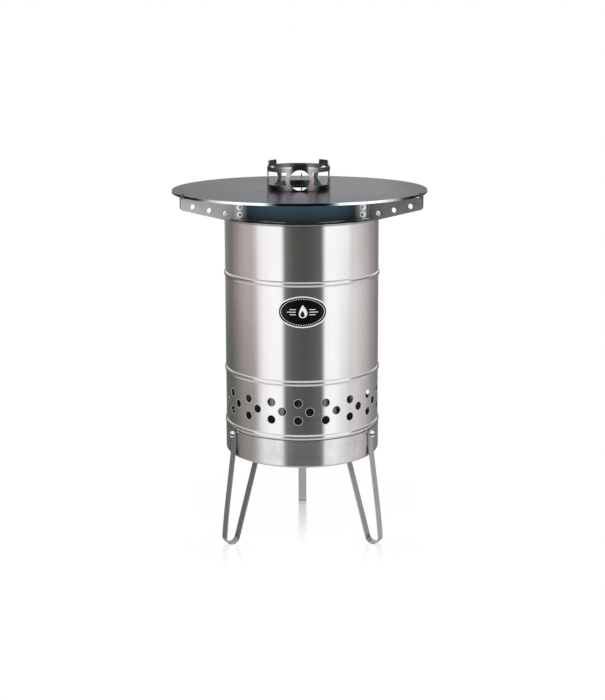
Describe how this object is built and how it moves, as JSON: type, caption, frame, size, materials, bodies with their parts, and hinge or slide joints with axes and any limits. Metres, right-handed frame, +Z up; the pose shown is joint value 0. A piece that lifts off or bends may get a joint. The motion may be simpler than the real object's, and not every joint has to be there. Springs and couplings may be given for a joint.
{
  "type": "wood-burning fire barrel with griddle plate",
  "caption": "Round steel fire barrel on hairpin legs with a lift-off griddle plate on bracket arms and a pot ring over its central hole.",
  "frame": {"origin": "on the floor, under the barrel axis", "axes": "+Z up along the barrel axis, -Y toward the front with the badge, +X to the right seen from the front"},
  "size_m": [0.5975, 0.6118, 0.898],
  "materials": {
    "pan_steel": "brushed stainless sheet",
    "leg_steel": "satin steel strip",
    "fastener_steel": "bright plated steel",
    "shell_steel": "brushed stainless sheet",
    "chamber_steel": "dull heat-tinted stainless sheet",
    "rim_steel": "brushed stainless sheet",
    "badge_enamel": "gloss black enamel with a bare metal border",
    "grate_iron": "rough iron",
    "bracket_steel": "satin steel sheet, blued toward the fire",
    "zinc": "bright zinc",
    "plate_steel": "semi-gloss bare steel",
    "ring_steel": "raw laser-cut steel"
  },
  "bodies": {
    "base": {"base_pan": "pan_steel", "leg_left": "leg_steel", "leg_right": "leg_steel", "leg_rear": "leg_steel", "leg_bolts": "fastener_steel", "leg_washers": "fastener_steel", "leg_nuts": "fastener_steel", "foot_bolts": "fastener_steel", "foot_nuts": "fastener_steel"},
    "barrel": {"outer_shell": "shell_steel", "fire_chamber": "chamber_steel", "top_ring": "rim_steel", "badge": "badge_enamel"},
    "grate": {"fire_grate": "grate_iron"},
    "bracket_frame": {"bracket_left": "bracket_steel", "bracket_right": "bracket_steel", "bracket_rear": "bracket_steel", "bracket_screws": "zinc", "bracket_washers": "zinc", "bracket_nuts": "zinc"},
    "griddle": {"griddle_plate": "plate_steel"},
    "ring": {"pot_ring": "ring_steel"}
  },
  "joints": [
    {"name": "barrel_lift", "type": "slide", "parent": "base", "child": "barrel", "axis": [0, 0, 1], "range_m": [0, 0.1]},
    {"name": "grate_lift", "type": "slide", "parent": "barrel", "child": "grate", "axis": [0, 0, 1], "range_m": [0, 0.525]},
    {"name": "bracket_lift", "type": "slide", "parent": "barrel", "child": "bracket_frame", "axis": [0, 0, 1], "range_m": [0, 0.08]},
    {"name": "griddle_lift", "type": "slide", "parent": "bracket_frame", "child": "griddle", "axis": [0, 0, 1], "range_m": [0, 0.08]},
    {"name": "ring_lift", "type": "slide", "parent": "griddle", "child": "ring", "axis": [0, 0, 1], "range_m": [0, 0.08]}
  ]
}
